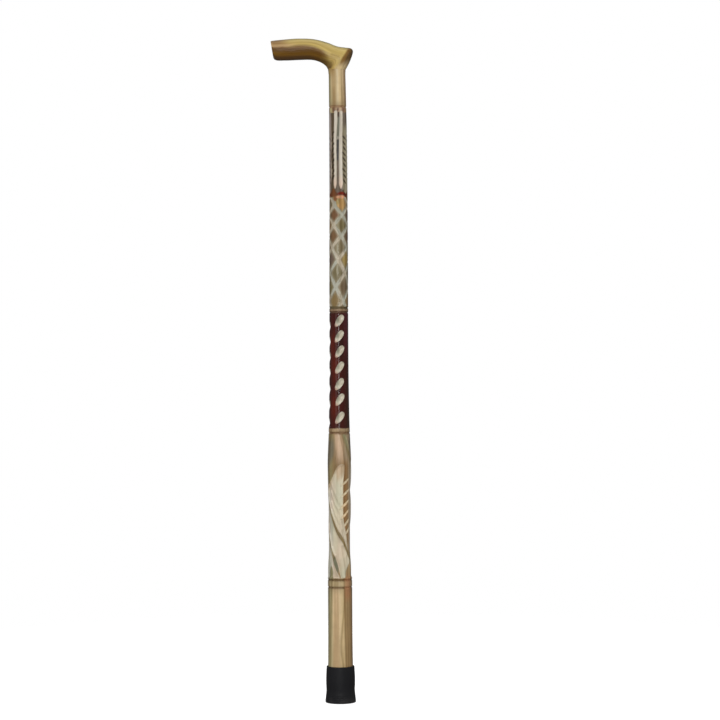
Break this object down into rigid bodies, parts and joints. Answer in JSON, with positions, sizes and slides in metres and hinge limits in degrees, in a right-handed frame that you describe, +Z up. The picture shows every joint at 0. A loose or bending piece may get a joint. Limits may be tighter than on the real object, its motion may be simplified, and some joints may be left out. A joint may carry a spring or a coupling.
{
  "type": "walking cane",
  "caption": "Carved wooden walking cane with a crutch handle, a shaft with fluted, lattice, scooped and palm-leaf bands, and a pull-off rubber ferrule.",
  "frame": {"origin": "centre of the ferrule's flat base, where the cane stands on the floor", "axes": "+Z up along the shaft; the handle's arm points along -X and its heel along +X; the carving's front faces -Y"},
  "size_m": [0.1103, 0.0414, 0.9],
  "materials": {
    "handle_wood": "golden brown hardwood, hand shaped, satin varnish",
    "carved_wood": "pale hardwood with stained and lacquered carved bands under clear varnish",
    "stud_steel": "plain steel rod",
    "ferrule_rubber": "moulded black rubber, satin",
    "washer_steel": "plain steel disc"
  },
  "bodies": {
    "stick": {"handle": "handle_wood", "handle_stud": "stud_steel", "shaft": "carved_wood"},
    "ferrule": {"ferrule": "ferrule_rubber", "ferrule_washer": "washer_steel"}
  },
  "joints": [
    {"name": "stick_pull", "type": "slide", "parent": "ferrule", "child": "stick", "axis": [0, 0, 1], "range_m": [0, 0.046]}
  ]
}
